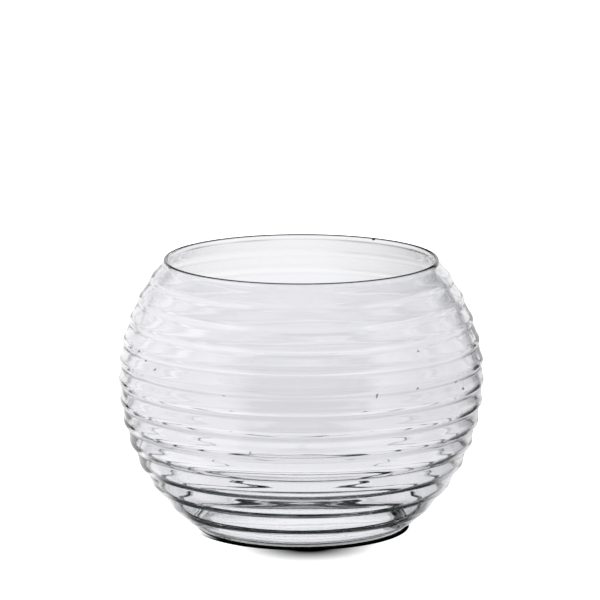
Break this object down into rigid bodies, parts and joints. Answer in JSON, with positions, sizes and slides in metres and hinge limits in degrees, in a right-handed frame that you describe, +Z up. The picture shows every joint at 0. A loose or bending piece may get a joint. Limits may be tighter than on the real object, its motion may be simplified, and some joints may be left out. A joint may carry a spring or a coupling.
{
  "type": "round glass vase",
  "caption": "Round clear glass bowl vase with a wide open mouth, a low lip and horizontal moulded rings from neck to foot, standing on a flat foot ring.",
  "frame": {"origin": "centre of the foot's flat ring, on the surface that the vase stands on", "axes": "+Z up along the vase's axis of revolution, through the middle of the mouth; X and Y are horizontal and alike"},
  "size_m": [0.1994, 0.1994, 0.15],
  "materials": {
    "clear_glass": "clear soda-lime glass, fire-polished, with the soft waviness of mould-blown ware"
  },
  "bodies": {
    "root": {"vase_body": "clear_glass"}
  },
  "joints": []
}
